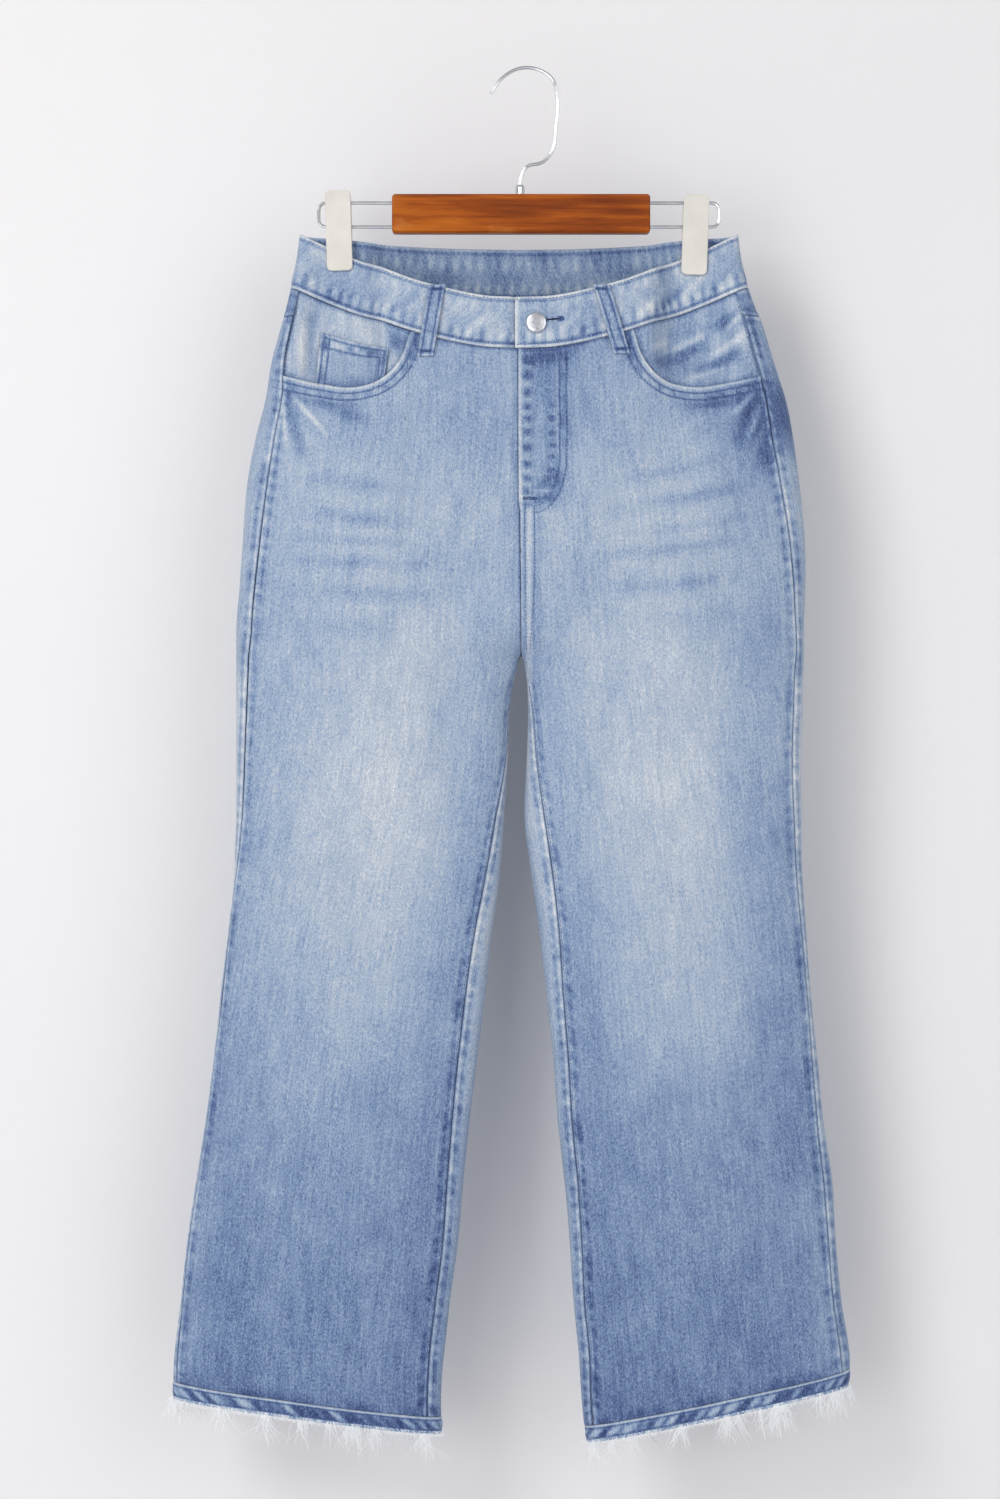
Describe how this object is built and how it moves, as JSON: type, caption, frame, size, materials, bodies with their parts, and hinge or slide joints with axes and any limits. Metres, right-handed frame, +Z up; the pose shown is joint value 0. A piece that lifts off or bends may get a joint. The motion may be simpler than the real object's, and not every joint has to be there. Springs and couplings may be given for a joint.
{
  "type": "flare jeans on a clip hanger",
  "caption": "Light-wash wide-flared denim jeans with frayed raw hems, hanging flat by the waistband from a wooden bar hanger with sliding clips.",
  "frame": {"origin": "underside of the hook's top bend, where it hangs on a rail", "axes": "+Z up, -Y is the front of the jeans, +X is the viewer's right"},
  "size_m": [0.5827, 0.0809, 1.2019],
  "materials": {
    "denim": "washed light-blue cotton twill with faded thighs and darker seams",
    "raw_thread": "loose off-white cotton threads",
    "zip_tape": "woven tape",
    "button_metal": "plain silver-coloured metal button",
    "wood": "worn orange-brown varnish",
    "steel": "bright plated wire",
    "clip": "cream, slightly worn"
  },
  "bodies": {
    "root": {"front_left": "denim", "front_right": "denim", "back_left": "denim", "back_right": "denim", "yoke_left": "denim", "yoke_right": "denim", "waistband": "denim", "fly_shield": "denim", "zip": "zip_tape", "pocket_bearer_left": "denim", "pocket_bearer_right": "denim", "coin_pocket": "denim", "back_pocket_left": "denim", "back_pocket_right": "denim", "belt_loop_front_left": "denim", "belt_loop_front_right": "denim", "belt_loop_back_left": "denim", "belt_loop_back_centre": "denim", "belt_loop_back_right": "denim", "button": "button_metal", "hem_left": "denim", "hem_right": "denim", "fringe_left": "raw_thread", "fringe_right": "raw_thread", "hanger_bar": "wood", "hanger_hook": "steel", "hook_collar": "steel", "hanger_arm_left": "steel", "hanger_arm_right": "steel", "clip_front_left": "clip", "clip_back_left": "clip", "clip_front_right": "clip", "clip_back_right": "clip", "clip_slider_left": "steel", "clip_slider_right": "steel"}
  },
  "joints": []
}
